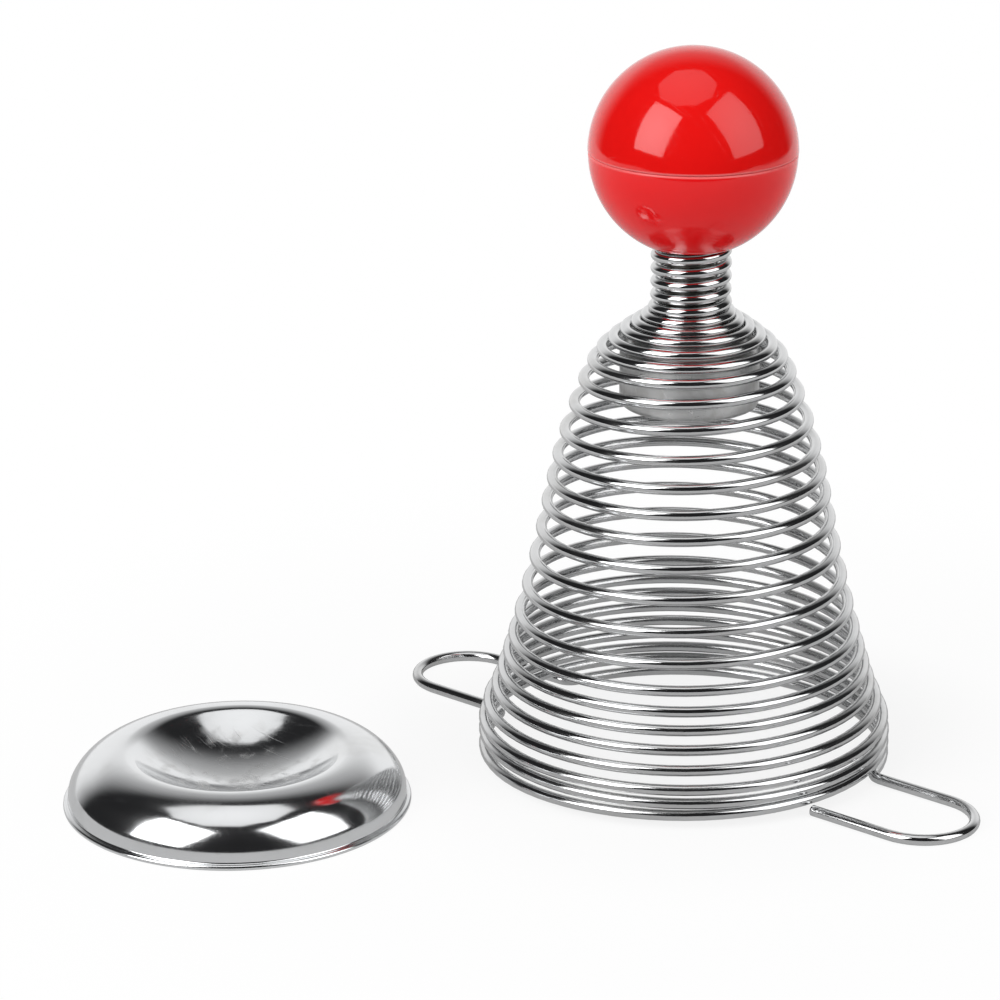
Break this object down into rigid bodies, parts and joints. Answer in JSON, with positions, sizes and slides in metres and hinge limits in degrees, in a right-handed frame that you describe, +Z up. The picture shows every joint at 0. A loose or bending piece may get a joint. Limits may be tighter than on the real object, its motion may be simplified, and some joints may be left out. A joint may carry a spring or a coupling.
{
  "type": "spring nutcracker",
  "caption": "Spring nutcracker: a bell-shaped coil of polished steel wire with finger loops, a glossy red ball knob carrying the striker, and a separate pressed steel nut dish.",
  "frame": {"origin": "on the table, under the middle of the whole footprint of the bell, its finger loops and the dish beside it", "axes": "+Z up along the bell's axis, +X along the line of the two finger loops, so the dish stands towards -X and -Y"},
  "size_m": [0.1134, 0.1128, 0.1063],
  "materials": {
    "wire_steel": "polished",
    "striker_steel": "satin",
    "bolt_steel": "satin",
    "dish_steel": "polished",
    "knob_red": "gloss"
  },
  "bodies": {
    "bell": {"bell_spring": "wire_steel"},
    "head": {"ball_upper_half": "knob_red", "ball_lower_half": "knob_red", "striker": "striker_steel", "spacer_sleeve": "bolt_steel", "bolt_washer": "bolt_steel", "draw_bolt": "bolt_steel"},
    "dish": {"nut_dish": "dish_steel"}
  },
  "joints": [
    {"name": "head_pull", "type": "slide", "parent": "bell", "child": "head", "axis": [0, 0, 1], "range_m": [-0.014, 0.08], "stiffness_N_per_m": 15.6, "springref_m": 0.0259, "deforming": ["bell_spring"]},
    {"name": "dish_lift", "type": "slide", "parent": "bell", "child": "dish", "axis": [0, 0, 1], "range_m": [0, 0.06]}
  ]
}
